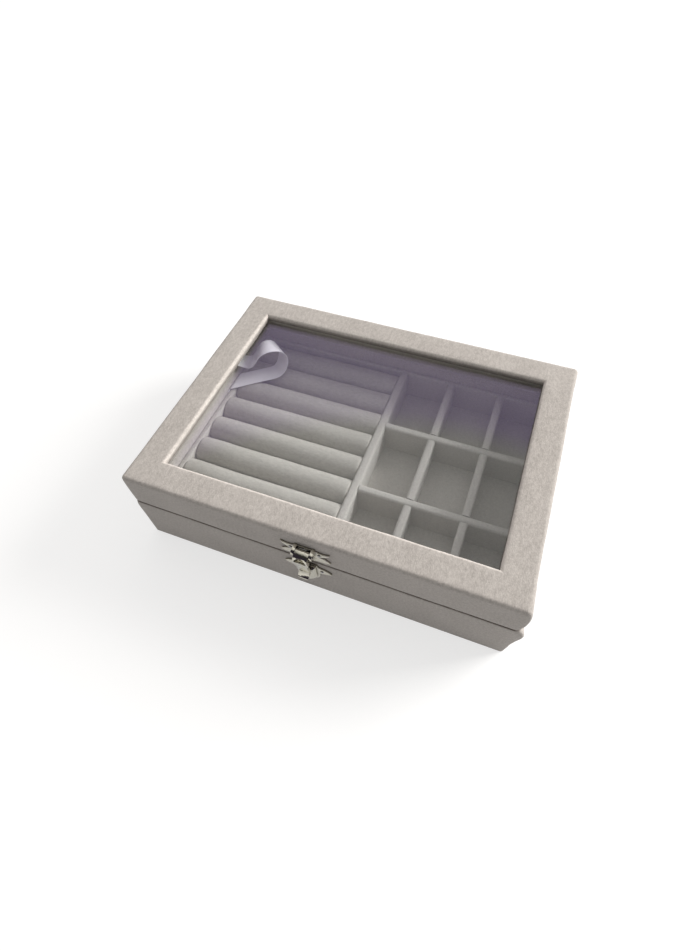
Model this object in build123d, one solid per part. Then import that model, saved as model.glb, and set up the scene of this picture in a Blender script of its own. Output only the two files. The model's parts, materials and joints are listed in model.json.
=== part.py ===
"""Ring display box: a cloth-covered case with a glazed lid, ring rolls and nine cells.

The frame is right-handed and in millimetres. The origin is the middle of the flat
underside, +X runs right along the front edge, +Y runs to the hinges and +Z is up.
"""
from build123d import *
from math import cos, pi, radians, sin
import os

# ---------------------------------------------------------------- driving sizes
box_length = 200.0          # outside, along X
box_depth = 150.0           # outside, along Y
box_height = 53.0           # outside, lid closed
base_rim = 31.2             # top of the lower half
lid_rim = 31.5              # bottom of the lid, a hair above the base rim
cloth = 0.8                 # velvet and its glue
wall_board = 3.4            # board inside the cloth of every side wall
floor_board = 3.0           # board under the tray
corner_radius = 2.0         # upright outer corners, over the cloth
edge_radius = 1.8           # outer edges round the lid top
rim_radius = 1.2            # edges along the closing gap

frame_width = 16.0          # flat border round the window, over the cloth
frame_board = 3.0           # board of that border
window_edge_radius = 1.6
glass_thickness = 2.0
glass_overlap = 4.0         # glass hidden under the border on each side
lining_thickness = 2.0      # covered card that holds the glass from below
lining_setback = 1.5        # the card stays this far behind the window's edge

tray_top = 24.0             # tops of tray walls and dividers
tray_card = 2.5             # tray wall at front, back and right
ledge_width = 3.0           # thicker tray wall at the left of the rings
tray_floor_card = 1.5
divider_thickness = 4.5
ring_divider_thickness = 5.0
ring_divider_x = 3.3        # middle of the divider between rings and cells
divider_top_radius = 1.4
cell_rows = 3
cell_columns = 3

roll_count = 8
roll_gap = 0.4              # between neighbouring rolls
roll_crest = 24.5
ring_board_thickness = 2.3
roll_end_rounding = 2.4     # length over which a roll draws in at its ends

ribbon_width = 11.0
ribbon_thickness = 0.5

hinge_x = 60.0              # hinges stand this far left and right of the middle
hinge_width = 22.0
hinge_leaf_height = 11.0
hinge_leaf = 0.8
hinge_barrel_radius = 1.6
hinge_pin_radius = 0.7
running_gap = 0.05          # between a turning barrel and its pin
side_gap = 0.15             # between neighbouring barrels along a pin

latch_x = -1.6
latch_plate = 1.0
latch_pivot_out = 3.3       # pin axis in front of the front wall
latch_pivot_z = 44.0
latch_barrel_radius = 1.9
latch_ear_radius = 2.0
latch_pin_radius = 0.6
lever_thickness = 1.5
shield_height = 3.0         # raised shield of the base plate, from the wall
shield_bevel = 1.1
hook_half_width = 1.7
rib_out = 3.4               # the lever's catch rib ends this far from the front wall
rib_z = 34.3                # top of that rib, just under the hook's nose
rib_height = 0.9
lid_nail_spread = 7.3       # nails stand this far left and right of the latch
lid_nail_z = 42.7
base_nail_spread = 7.6
base_nail_z = 24.8
nail_head_radius = 1.0
nail_head_height = 0.5
nail_shank_radius = 0.5
nail_length = 3.0
nail_sides = 10             # nails and their holes are drawn with flats

# ---------------------------------------------------------------- worked out
half_length = box_length / 2
half_depth = box_depth / 2
board_x = half_length - cloth
board_y = half_depth - cloth
wall_in_x = board_x - wall_board
wall_in_y = board_y - wall_board
room_x = wall_in_x - cloth
room_y = wall_in_y - cloth
window_x = half_length - frame_width
window_y = half_depth - frame_width

floor_top = cloth + floor_board
tray_floor_top = floor_top + tray_floor_card
frame_board_bottom = box_height - cloth - frame_board
glass_bottom = frame_board_bottom - glass_thickness
lining_bottom = glass_bottom - lining_thickness

tray_left = -room_x + ledge_width
tray_right = room_x - tray_card
tray_half = room_y - tray_card
ring_right = ring_divider_x - ring_divider_thickness / 2
cells_left = ring_divider_x + ring_divider_thickness / 2
cell_width = (tray_right - cells_left - (cell_columns - 1) * divider_thickness) / cell_columns
cell_depth = (2 * tray_half - (cell_rows - 1) * divider_thickness) / cell_rows
long_divider_xs = [
    cells_left + column * (cell_width + divider_thickness) - divider_thickness / 2
    for column in range(1, cell_columns)
]
cross_divider_ys = [
    -tray_half + row * (cell_depth + divider_thickness) - divider_thickness / 2
    for row in range(1, cell_rows)
]
divider_middle = (tray_floor_top + tray_top) / 2

ring_board_top = tray_floor_top + ring_board_thickness
roll_pitch = 2 * tray_half / roll_count
roll_radius = (roll_pitch - roll_gap) / 2
roll_centre_z = roll_crest - roll_radius

hinge_axis_y = half_depth + hinge_barrel_radius
hinge_axis_z = (base_rim + lid_rim) / 2
latch_pivot_y = -half_depth - latch_pivot_out


# ---------------------------------------------------------------- shared shapes
def block(x0, x1, y0, y1, z0, z1):
    """A box between two corners."""
    middle = Pos((x0 + x1) / 2, (y0 + y1) / 2, (z0 + z1) / 2)
    return middle * Box(x1 - x0, y1 - y0, z1 - z0)


def ring_block(outer_x, outer_y, inner_x, inner_y, z0, z1):
    """A rectangular tube, given by its half sizes."""
    outer = block(-outer_x, outer_x, -outer_y, outer_y, z0, z1)
    return outer - block(-inner_x, inner_x, -inner_y, inner_y, z0 - 1, z1 + 1)


def rod_x(radius, x0, x1, y, z):
    """A round rod along X."""
    return Pos((x0 + x1) / 2, y, z) * Rot(0, 90, 0) * Cylinder(radius, x1 - x0)


def strip(edges, thickness):
    """A face of even thickness along edges that join end to end."""
    return make_face(offset(Wire(edges), thickness / 2))


def upright_edges(shape, x, y):
    """The upright edges of a shape that stand at plus or minus x and y."""
    edges = shape.edges().filter_by(Axis.Z)
    return [e for e in edges if abs(abs(e.center().X) - x) < 0.01 and abs(abs(e.center().Y) - y) < 0.01]


def level_edges(shape, z, x, y):
    """The level edges at height z that run round the rectangle of half sizes x and y."""
    found = []
    for edge in shape.edges():
        middle = edge.center()
        on_side = abs(abs(middle.X) - x) < 0.7 or abs(abs(middle.Y) - y) < 0.7
        outside = abs(middle.X) > x + 0.01 or abs(middle.Y) > y + 0.01
        if abs(middle.Z - z) < 0.01 and edge.bounding_box().size.Z < 0.01 and on_side and not outside:
            found.append(edge)
    return found


# ---------------------------------------------------------------- lower half
def underside_sheet():
    """Cloth glued under the box: the face that it stands on."""
    sheet = block(-half_length, half_length, -half_depth, half_depth, 0, cloth)
    return fillet(upright_edges(sheet, half_length, half_depth), corner_radius)


def bottom_board():
    board = block(-board_x, board_x, -board_y, board_y, cloth, floor_top)
    return fillet(upright_edges(board, board_x, board_y), corner_radius - cloth)


def end_wall(side, z0, z1):
    """Front or back board, the full length of the box, side -1 or 1."""
    inner, outer = sorted((side * wall_in_y, side * board_y))
    wall = block(-board_x, board_x, inner, outer, z0, z1)
    corners = upright_edges(wall, board_x, board_y)
    return fillet(corners, corner_radius - cloth)


def side_wall(side, z0, z1):
    """Left or right board, between the front and back boards."""
    inner, outer = sorted((side * wall_in_x, side * board_x))
    return block(inner, outer, -wall_in_y, wall_in_y, z0, z1)


def base_cover():
    """Velvet outside the walls, over their tops and down inside."""
    shell = ring_block(half_length, half_depth, room_x, room_y, cloth, base_rim)
    shell = fillet(upright_edges(shell, half_length, half_depth), corner_radius)
    shell = fillet(level_edges(shell, base_rim, half_length, half_depth), rim_radius)
    walls = ring_block(board_x, board_y, wall_in_x, wall_in_y, cloth - 1, base_rim - cloth)
    walls = fillet(upright_edges(walls, board_x, board_y), corner_radius - cloth)
    lining_foot = block(-wall_in_x, wall_in_x, -wall_in_y, wall_in_y, cloth - 1, floor_top)
    return shell - walls - lining_foot


# ---------------------------------------------------------------- tray
def tray_floor():
    return block(-room_x, room_x, -room_y, room_y, floor_top, tray_floor_top)


def tray_wall(x0, x1, y0, y1):
    """A covered card on edge, with its two long top edges rounded."""
    wall = block(x0, x1, y0, y1, tray_floor_top, tray_top)
    along = Axis.X if x1 - x0 > y1 - y0 else Axis.Y
    top = wall.edges().filter_by(along).group_by(Axis.Z)[-1]
    return fillet(top, 0.8)


def divider_bar(x0, x1, y0, y1):
    """A padded divider with a rounded top."""
    bar = block(x0, x1, y0, y1, tray_floor_top, tray_top)
    along = Axis.X if x1 - x0 > y1 - y0 else Axis.Y
    top = bar.edges().filter_by(along).group_by(Axis.Z)[-1]
    return fillet(top, divider_top_radius)


def ring_divider():
    half = ring_divider_thickness / 2
    return divider_bar(ring_divider_x - half, ring_divider_x + half, -tray_half, tray_half)


def long_divider(x):
    """Front-to-back divider, slotted from above where the cross dividers sit."""
    half = divider_thickness / 2
    bar = divider_bar(x - half, x + half, -tray_half, tray_half)
    for y in cross_divider_ys:
        bar -= block(x - 5, x + 5, y - half, y + half, divider_middle, tray_top + 1)
    return bar


def cross_divider(y):
    """Left-to-right divider, slotted from below, so that its top runs on unbroken."""
    half = divider_thickness / 2
    bar = divider_bar(cells_left, tray_right, y - half, y + half)
    for x in long_divider_xs:
        bar -= block(x - half, x + half, y - 5, y + 5, tray_floor_top - 1, divider_middle)
    return bar


def ring_board():
    """Card that lifts the rolls to the height of the dividers."""
    return block(tray_left, ring_right, -tray_half, tray_half, tray_floor_top, ring_board_top)


def roll_section(x, y, draw_in):
    """Upright section of a roll: flat foot, straight flanks, round crest."""
    radius = roll_radius - draw_in
    foot = radius - 0.7
    shoulder = roll_centre_z
    with BuildSketch(Plane.YZ.offset(x)) as sketch:
        with BuildLine():
            left = ThreePointArc(
                (y, shoulder + radius),
                (y - radius * sin(pi / 4), shoulder + radius * cos(pi / 4)),
                (y - radius, shoulder),
            )
            flank = Line(left @ 1, (y - radius, ring_board_top + 0.7))
            toe = Line(flank @ 1, (y - foot, ring_board_top))
            base = Line(toe @ 1, (y + foot, ring_board_top))
            heel = Line(base @ 1, (y + radius, ring_board_top + 0.7))
            rise = Line(heel @ 1, (y + radius, shoulder))
            ThreePointArc(
                rise @ 1,
                (y + radius * sin(pi / 4), shoulder + radius * cos(pi / 4)),
                left @ 0,
            )
        make_face()
    return sketch.sketch


def ring_roll(index):
    """Velvet-covered foam roll; the cloth is pulled tight, so that its ends draw in."""
    y = -tray_half + (index + 0.5) * roll_pitch
    sections = []
    steps = 3
    for step in range(steps):
        turn = radians(90 * step / (steps - 1))
        run = roll_end_rounding * (1 - cos(turn))
        sections.append((run, 0.75 * (1 - sin(turn))))
    stations = [(tray_left + run, draw) for run, draw in sections]
    stations += [(ring_right - run, draw) for run, draw in reversed(sections)]
    return loft([roll_section(x, y, draw) for x, draw in stations], ruled=True)


# ---------------------------------------------------------------- ribbon
def ribbon():
    """Satin stay: one end on the base wall, one on the lid wall, looped under the glass."""
    foot = Vector(-room_x, 23.0, 0)             # where the lower strand meets the wall
    heading = 38.0                              # degrees from +X towards +Y, seen from above
    reach = 34.0                                # wall to loop, along the heading
    base_end, lid_end = 25.6, 34.0              # heights of the two ends
    loop_low, loop_high = 26.4, 41.6            # heights where the loop begins and ends
    across = Plane(
        origin=foot,
        x_dir=(cos(radians(heading)), sin(radians(heading)), 0),
        z_dir=(sin(radians(heading)), -cos(radians(heading)), 0),
    )
    lower = ThreePointArc((-8, base_end), (reach * 0.35, base_end - 0.1), (reach * 0.8, loop_low))
    turn = ThreePointArc(lower @ 1, (reach, (loop_low + loop_high) / 2), (reach * 0.8, loop_high))
    fall = ThreePointArc(turn @ 1, (reach * 0.62, 39.9), (reach * 0.45, 36.4))
    upper = ThreePointArc(fall @ 1, (reach * 0.2, lid_end + 0.2), (-8, lid_end))
    path = [lower, turn, fall, upper]
    band = extrude(across * strip(path, ribbon_thickness), ribbon_width / 2, both=True)
    inside = block(-room_x, 0, -room_y, room_y, tray_top, lining_bottom)
    return band & inside


# ---------------------------------------------------------------- lid
def lid_cover():
    """Velvet over the lid: sides, rim, border and the edges of the window."""
    shell = block(-half_length, half_length, -half_depth, half_depth, lid_rim, box_height)
    shell = fillet(upright_edges(shell, half_length, half_depth), corner_radius)
    shell = fillet(level_edges(shell, box_height, half_length, half_depth), edge_radius)
    shell = fillet(level_edges(shell, lid_rim, half_length, half_depth), rim_radius)
    shell -= block(-room_x, room_x, -room_y, room_y, lid_rim - 1, frame_board_bottom)
    shell -= block(-window_x, window_x, -window_y, window_y, frame_board_bottom - 1, box_height + 1)
    shell = fillet(level_edges(shell, box_height, window_x, window_y), window_edge_radius)
    walls = ring_block(board_x, board_y, wall_in_x, wall_in_y, lid_rim + cloth, frame_board_bottom)
    walls = fillet(upright_edges(walls, board_x, board_y), corner_radius - cloth)
    border_in_x = window_x + cloth
    border_in_y = window_y + cloth
    top = box_height - cloth
    border = ring_block(board_x, board_y, border_in_x, border_in_y, frame_board_bottom, top)
    border = fillet(upright_edges(border, board_x, board_y), corner_radius - cloth)
    return shell - walls - border


def mitred_strip(side, outer_x, outer_y, inner_x, inner_y, z0, z1):
    """One side of a mitred frame: front, back, left or right."""
    corners = {
        "front": [(-outer_x, -outer_y), (outer_x, -outer_y), (inner_x, -inner_y), (-inner_x, -inner_y)],
        "back": [(-outer_x, outer_y), (-inner_x, inner_y), (inner_x, inner_y), (outer_x, outer_y)],
        "left": [(-outer_x, -outer_y), (-inner_x, -inner_y), (-inner_x, inner_y), (-outer_x, outer_y)],
        "right": [(outer_x, -outer_y), (outer_x, outer_y), (inner_x, inner_y), (inner_x, -inner_y)],
    }
    outline = make_face(Polyline(*corners[side], close=True))
    return Pos(0, 0, z0) * extrude(outline, z1 - z0, dir=(0, 0, 1))


def border_board(side):
    """Mitred board of the window border."""
    board = mitred_strip(
        side, board_x, board_y, window_x + cloth, window_y + cloth,
        frame_board_bottom, box_height - cloth,
    )
    rounded = block(-board_x, board_x, -board_y, board_y, 0, box_height)
    rounded = fillet(upright_edges(rounded, board_x, board_y), corner_radius - cloth)
    return board & rounded


def lining_strip(side):
    """Covered card under the glass, mitred like the border above it."""
    inner_x = window_x + lining_setback
    inner_y = window_y + lining_setback
    return mitred_strip(side, room_x, room_y, inner_x, inner_y, lining_bottom, glass_bottom)


def glass_spacer(side):
    """Strip beside the glass, as thick as it is."""
    glass_x = window_x + glass_overlap
    glass_y = window_y + glass_overlap
    return mitred_strip(side, room_x, room_y, glass_x, glass_y, glass_bottom, frame_board_bottom)


def glass_pane():
    glass_x = window_x + glass_overlap
    glass_y = window_y + glass_overlap
    return block(-glass_x, glass_x, -glass_y, glass_y, glass_bottom, frame_board_bottom)


# ---------------------------------------------------------------- hinges
def hinge_barrels():
    """X ranges of the three barrels from the hinge's middle: base, lid, base."""
    third = hinge_width / 3
    return [(-hinge_width / 2, -third / 2), (-third / 2, third / 2), (third / 2, hinge_width / 2)]


def nail_hole(x, y, z):
    """A hole for a nail's shank, right through a plate at the wall face y."""
    return Pos(x, y, z) * extrude(Plane.XZ * RegularPolygon(nail_shank_radius, nail_sides), 6, both=True)


def nail(x, y, z, outward):
    """Nail with its head standing proud of y, along the outward Y direction."""
    facing = Plane(origin=(x, y, z), x_dir=(1, 0, 0), z_dir=(0, outward, 0))
    shank = extrude(facing * RegularPolygon(nail_shank_radius, nail_sides), -nail_length)
    head = extrude(facing * RegularPolygon(nail_head_radius, nail_sides), nail_head_height, taper=35)
    return shank + head


def hinge_nail_places(centre_x, up):
    """Nail positions of one leaf, up is 1 on the lid and -1 on the base."""
    z = hinge_axis_z + up * (hinge_leaf_height - 4.0)
    return [(centre_x - 7.0, z), (centre_x + 7.0, z)]


def hinge_leaf_part(centre_x, up):
    """One leaf with its barrels rolled round the pin."""
    half = hinge_width / 2
    z0 = hinge_axis_z + up * (side_gap + 0.1)
    z1 = hinge_axis_z + up * hinge_leaf_height
    low, high = sorted((z0, z1))
    y0 = half_depth
    leaf = block(centre_x - half, centre_x + half, y0, y0 + hinge_leaf, low, high)
    tip = [e for e in leaf.edges().filter_by(Axis.Y) if abs(e.center().Z - z1) < 0.01]
    leaf = fillet(tip, 2.0)
    barrels = hinge_barrels()
    own = [barrels[1]] if up > 0 else [barrels[0], barrels[2]]
    other = [barrels[0], barrels[2]] if up > 0 else [barrels[1]]
    reach = hinge_barrel_radius + 2 * side_gap
    for x0, x1 in other:
        room = block(
            centre_x + x0 - side_gap, centre_x + x1 + side_gap,
            y0 - 1, y0 + 9, hinge_axis_z - reach, hinge_axis_z + reach,
        )
        leaf -= room
    for x0, x1 in own:
        inset = side_gap / 2
        barrel = rod_x(
            hinge_barrel_radius, centre_x + x0 + inset, centre_x + x1 - inset,
            hinge_axis_y, hinge_axis_z,
        )
        leaf += barrel
    bore = hinge_pin_radius + (running_gap if up > 0 else 0)
    leaf -= rod_x(bore, centre_x - half - 1, centre_x + half + 1, hinge_axis_y, hinge_axis_z)
    for x, z in hinge_nail_places(centre_x, up):
        leaf -= nail_hole(x, y0, z)
    return leaf


def hinge_pin(centre_x):
    half = hinge_width / 2
    return rod_x(hinge_pin_radius, centre_x - half - 0.4, centre_x + half + 0.4, hinge_axis_y, hinge_axis_z)


def hinge_nails(up):
    places = hinge_nail_places(-hinge_x, up) + hinge_nail_places(hinge_x, up)
    return [nail(x, half_depth + hinge_leaf, z, 1) for x, z in places]


# ---------------------------------------------------------------- latch
def front_face(outline, out0, out1):
    """Extrude a face drawn in X and Z between two distances in front of the front wall."""
    solid = extrude(outline, out1 - out0, dir=(0, -1, 0))
    return Pos(latch_x, -half_depth - out0, 0) * solid


def mirrored_outline(half_edges):
    """Close a right-hand half outline, drawn in X and Z, with its mirror image."""
    with BuildSketch(Plane.XZ) as sketch:
        with BuildLine():
            half_edges()
            mirror(about=Plane.YZ)
        make_face()
    return sketch.sketch


def lid_plate_half():
    """Winged plate: a thin upper horn and a leaf-shaped lower horn."""
    top = Line((0, 45.6), (4.6, 45.6))
    horn_top = ThreePointArc(top @ 1, (8.8, 44.2), (12.6, 45.4))
    horn_low = ThreePointArc(horn_top @ 1, (9.4, 41.9), (6.8, 40.7))
    leaf_top = ThreePointArc(horn_low @ 1, (10.0, 39.5), (12.8, 37.0))
    leaf_low = ThreePointArc(leaf_top @ 1, (9.2, 36.2), (5.8, 36.0))
    foot = ThreePointArc(leaf_low @ 1, (3.2, 34.9), (0, 34.4))
    return foot


def base_plate_half():
    """Lower plate: one leaf-shaped horn on each side of a shield."""
    top = Line((0, 29.6), (5.2, 29.6))
    shoulder = ThreePointArc(top @ 1, (5.5, 28.2), (6.6, 27.1))
    horn_top = ThreePointArc(shoulder @ 1, (10.0, 26.3), (12.6, 24.2))
    horn_low = ThreePointArc(horn_top @ 1, (9.2, 22.9), (6.2, 21.6))
    side = ThreePointArc(horn_low @ 1, (5.6, 17.2), (0, 13.4))
    return side


def shield_half():
    """Raised shield in the middle of the lower plate."""
    top = Line((0, 29.0), (4.6, 29.0))
    flank = Line(top @ 1, (4.8, 22.0))
    return ThreePointArc(flank @ 1, (3.9, 17.0), (0, 14.4))


def latch_lid_plate():
    """Plate on the lid with two ears that hold the lever's pin."""
    plate = front_face(mirrored_outline(lid_plate_half), 0, latch_plate)
    for side in (-1, 1):
        x0, x1 = sorted((latch_x + side * 3.65, latch_x + side * 5.3))
        ear = rod_x(latch_ear_radius, x0, x1, latch_pivot_y, latch_pivot_z)
        low, high = latch_pivot_z - latch_ear_radius, latch_pivot_z + latch_ear_radius
        web = block(x0, x1, latch_pivot_y, -half_depth, low, high)
        plate += ear + web
    plate -= rod_x(latch_pin_radius, latch_x - 9, latch_x + 9, latch_pivot_y, latch_pivot_z)
    for side in (-1, 1):
        plate -= nail_hole(latch_x + side * lid_nail_spread, -half_depth, lid_nail_z)
    return plate


def latch_pin():
    return rod_x(latch_pin_radius, latch_x - 5.7, latch_x + 5.7, latch_pivot_y, latch_pivot_z)


def lever_outline():
    """Lever seen from the front: neck, flared hood with a D-shaped window, tapered tongue."""
    z = latch_pivot_z
    window_sill = z - 3.0
    with BuildSketch(Plane.XZ) as sketch:
        with BuildLine():
            neck = Line((0, z + 3), (3.5, z + 3))
            down = Line(neck @ 1, (3.5, z - 1.0))
            shoulder = ThreePointArc(down @ 1, (4.1, z - 1.7), (4.3, z - 2.8))
            waist = ThreePointArc(shoulder @ 1, (4.0, z - 4.6), (3.2, z - 6.4))
            tongue = Line(waist @ 1, (2.8, z - 17))
            ThreePointArc(tongue @ 1, (2.1, z - 19.8), (0, z - 20.6))
            mirror(about=Plane.YZ)
        make_face()
        with BuildLine():
            sill = Line((-3.0, window_sill), (3.0, window_sill))
            right = Line(sill @ 1, (3.0, window_sill + 1.0))
            arch = ThreePointArc(right @ 1, (0, window_sill + 3.6), (-3.0, window_sill + 1.0))
            Line(arch @ 1, sill @ 0)
        make_face(mode=Mode.SUBTRACT)
    return sketch.sketch


def latch_lever():
    """Cast lever: barrel on the pin, humped hood with a window, finger lip, catch rib behind."""
    section_plane = Plane(
        origin=(latch_x, latch_pivot_y, latch_pivot_z), x_dir=(0, -1, 0), z_dir=(-1, 0, 0)
    )
    hood = ThreePointArc((0, 1.1), (2.1, 0.45), (3.2, -2.4))
    face = TangentArc(hood @ 1, (2.2, -9.0), tangent=hood % 1)
    tongue = TangentArc(face @ 1, (1.3, -14.5), tangent=face % 1)
    lip = TangentArc(tongue @ 1, (3.1, -19.8), tangent=tongue % 1)
    section = section_plane * strip([hood, face, tongue, lip], lever_thickness)
    band = extrude(section, 6, both=True)
    front = extrude(lever_outline(), 20, dir=(0, -1, 0))
    front = Pos(latch_x, -half_depth, 0) * front
    lever = band & front
    lever += rod_x(latch_barrel_radius, latch_x - 3.5, latch_x + 3.5, latch_pivot_y, latch_pivot_z)
    rib_y0 = -half_depth - latch_pivot_out - 2.0
    lever += block(latch_x - 2.2, latch_x + 2.2, rib_y0, -half_depth - rib_out, rib_z - rib_height, rib_z)
    bore = latch_pin_radius + running_gap
    return lever - rod_x(bore, latch_x - 9, latch_x + 9, latch_pivot_y, latch_pivot_z)


def latch_base_plate():
    """Plate on the base with a raised shield and the hook that holds the lever's rib down."""
    plate = front_face(mirrored_outline(base_plate_half), 0, latch_plate)
    shield = front_face(mirrored_outline(shield_half), 0, shield_height)
    rim = shield.faces().sort_by(Axis.Y)[0].edges()
    plate += chamfer(rim, shield_bevel)
    hook_plane = Plane(origin=(latch_x, -half_depth, 0), x_dir=(0, -1, 0), z_dir=(-1, 0, 0))
    with BuildSketch(hook_plane) as section:
        with BuildLine():
            Polyline(
                (1.6, 25.0), (1.6, 35.4), (2.5, 36.0), (4.1, 35.3), (4.1, 34.9),
                (2.9, 34.6), (2.9, 25.0), close=True,
            )
        make_face()
    plate += extrude(section.sketch, hook_half_width, both=True)
    for side in (-1, 1):
        plate -= nail_hole(latch_x + side * base_nail_spread, -half_depth, base_nail_z)
    return plate


def latch_nails(spread, z):
    y = -half_depth - latch_plate
    return [nail(latch_x + side * spread, y, z, -1) for side in (-1, 1)]


# ---------------------------------------------------------------- parts
def lower_half():
    wall_top = base_rim - cloth
    return {
        "underside_sheet": underside_sheet(),
        "base_bottom_board": bottom_board(),
        "base_front_board": end_wall(-1, floor_top, wall_top),
        "base_back_board": end_wall(1, floor_top, wall_top),
        "base_left_board": side_wall(-1, floor_top, wall_top),
        "base_right_board": side_wall(1, floor_top, wall_top),
        "base_velvet_cover": base_cover(),
    }


def tray():
    parts = {
        "tray_floor": tray_floor(),
        "tray_left_wall": tray_wall(-room_x, tray_left, -room_y, room_y),
        "tray_right_wall": tray_wall(tray_right, room_x, -room_y, room_y),
        "tray_front_wall": tray_wall(tray_left, tray_right, -room_y, -tray_half),
        "tray_back_wall": tray_wall(tray_left, tray_right, tray_half, room_y),
        "ring_bay_divider": ring_divider(),
        "ring_bay_board": ring_board(),
    }
    for number, x in enumerate(long_divider_xs, 1):
        parts[f"long_divider_{number}"] = long_divider(x)
    for number, y in enumerate(cross_divider_ys, 1):
        parts[f"cross_divider_{number}"] = cross_divider(y)
    for index in range(roll_count):
        parts[f"ring_roll_{index + 1}"] = ring_roll(index)
    return parts


def lid():
    wall_bottom = lid_rim + cloth
    parts = {
        "lid_front_board": end_wall(-1, wall_bottom, frame_board_bottom),
        "lid_back_board": end_wall(1, wall_bottom, frame_board_bottom),
        "lid_left_board": side_wall(-1, wall_bottom, frame_board_bottom),
        "lid_right_board": side_wall(1, wall_bottom, frame_board_bottom),
        "lid_velvet_cover": lid_cover(),
        "glass_pane": glass_pane(),
    }
    for side in ("front", "back", "left", "right"):
        parts[f"window_border_{side}"] = border_board(side)
        parts[f"glass_spacer_{side}"] = glass_spacer(side)
        parts[f"lid_lining_{side}"] = lining_strip(side)
    return parts


def hardware():
    parts = {
        "latch_lid_plate": latch_lid_plate(),
        "latch_pin": latch_pin(),
        "latch_lever": latch_lever(),
        "latch_base_plate": latch_base_plate(),
        "latch_lid_nails": latch_nails(lid_nail_spread, lid_nail_z),
        "latch_base_nails": latch_nails(base_nail_spread, base_nail_z),
        "hinge_base_nails": hinge_nails(-1),
        "hinge_lid_nails": hinge_nails(1),
        "lid_ribbon": ribbon(),
    }
    for name, x in (("left", -hinge_x), ("right", hinge_x)):
        parts[f"hinge_base_leaf_{name}"] = hinge_leaf_part(x, -1)
        parts[f"hinge_lid_leaf_{name}"] = hinge_leaf_part(x, 1)
        parts[f"hinge_pin_{name}"] = hinge_pin(x)
    return parts


def main():
    os.makedirs("parts", exist_ok=True)
    parts = {**lower_half(), **tray(), **lid(), **hardware()}
    for node, shape in parts.items():
        group = Compound(children=shape) if isinstance(shape, list) else shape
        export_step(group, f"parts/{node}.step")
        size = group.bounding_box().size
        print(f"{node:24s} {size.X:7.2f} {size.Y:7.2f} {size.Z:7.2f} mm  volume {group.volume:10.1f} mm3")
    print(len(parts), "parts")


main()
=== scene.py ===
# %% [markdown]
# # A ring display box in velvet
# The object is a low case covered in light grey velvet. Its lid holds a pane of glass, and
# under the glass lie eight padded rolls for rings and nine open cells. The boards, hinges,
# latch and glass were drawn to size beforehand and are loaded here as a fixed frame.
# What is made here is everything a hand would feel: cloth, padding, satin and polished metal.

# %% Load the fixed frame
import bmesh
import bpy
import json
import math
from mathutils import Matrix, Vector, noise

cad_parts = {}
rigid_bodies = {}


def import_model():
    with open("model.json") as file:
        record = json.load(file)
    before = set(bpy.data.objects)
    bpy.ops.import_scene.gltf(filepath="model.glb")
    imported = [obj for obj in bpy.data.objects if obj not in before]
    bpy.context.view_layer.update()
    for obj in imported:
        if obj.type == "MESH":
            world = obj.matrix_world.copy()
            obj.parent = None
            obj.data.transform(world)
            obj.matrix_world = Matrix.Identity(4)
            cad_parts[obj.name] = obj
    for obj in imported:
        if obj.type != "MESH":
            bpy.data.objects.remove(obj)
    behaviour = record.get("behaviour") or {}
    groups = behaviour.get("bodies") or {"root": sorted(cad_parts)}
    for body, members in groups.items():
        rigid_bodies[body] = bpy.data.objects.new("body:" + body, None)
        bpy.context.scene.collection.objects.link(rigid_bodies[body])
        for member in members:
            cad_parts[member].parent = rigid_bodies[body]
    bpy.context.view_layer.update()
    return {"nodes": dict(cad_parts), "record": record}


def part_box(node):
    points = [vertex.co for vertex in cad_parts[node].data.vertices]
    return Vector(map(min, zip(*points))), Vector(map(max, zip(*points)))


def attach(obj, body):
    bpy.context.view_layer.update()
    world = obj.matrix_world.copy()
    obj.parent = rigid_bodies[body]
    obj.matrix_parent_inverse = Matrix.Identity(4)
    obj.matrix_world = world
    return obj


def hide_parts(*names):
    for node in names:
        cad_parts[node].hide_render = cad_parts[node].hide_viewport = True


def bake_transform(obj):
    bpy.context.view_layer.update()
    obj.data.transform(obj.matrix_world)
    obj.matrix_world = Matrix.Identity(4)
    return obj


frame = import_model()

MM = 0.001
nodes = frame["nodes"]

# %% [markdown]
# ## The camera
# A photograph taken close to a small box has strong perspective, so the lens is short.
# Place, turns and lens come from a pinhole camera fitted to the box's edges in the photo.
# The camera could be aimed with a target and a constraint, but a fixed place and three
# turns say the same thing in four lines and never depend on another object.

# %% Camera
camera_data = bpy.data.cameras.new("camera")
camera_data.lens = 19.74
camera_data.sensor_width = 36.0
camera_data.clip_start = 0.01
camera = bpy.data.objects.new("camera", camera_data)
camera.location = (60.7 * MM, -167.11 * MM, 262.16 * MM)
camera.rotation_euler = (math.radians(34.24), math.radians(1.367), math.radians(20.80))
bpy.context.scene.collection.objects.link(camera)
bpy.context.scene.camera = camera
print("camera stands", round(camera.location.length / MM), "mm from the box's foot")

# %% [markdown]
# ## Measures of the box
# Every cloth piece is laid over a solid, so its size is read from that solid and not typed
# in again. Only what the solids don't tell, such as how far cloth stands proud at a fold,
# is given here as a number.

# %% Measures
base_low, base_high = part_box("base_velvet_cover")
lid_low, lid_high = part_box("lid_velvet_cover")
glass_low, glass_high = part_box("glass_pane")
lining_low, lining_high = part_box("lid_lining_left")
border_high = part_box("window_border_left")[1]
half_x = base_high.x
half_y = base_high.y
cloth = base_low.z
wall_thickness = 5.0 * MM
window_x = -border_high.x - cloth
frame_width = half_x - window_x
window_y = half_y - frame_width
# Render colours Colours are shown as they are, with no film curve.
room_x = half_x - wall_thickness
room_y = half_y - wall_thickness
outside_size = [round(2 * reach / MM, 1) for reach in (half_x, half_y)]
print("outside", outside_size, "mm, cloth", round(cloth / MM, 2), "mm")

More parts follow.
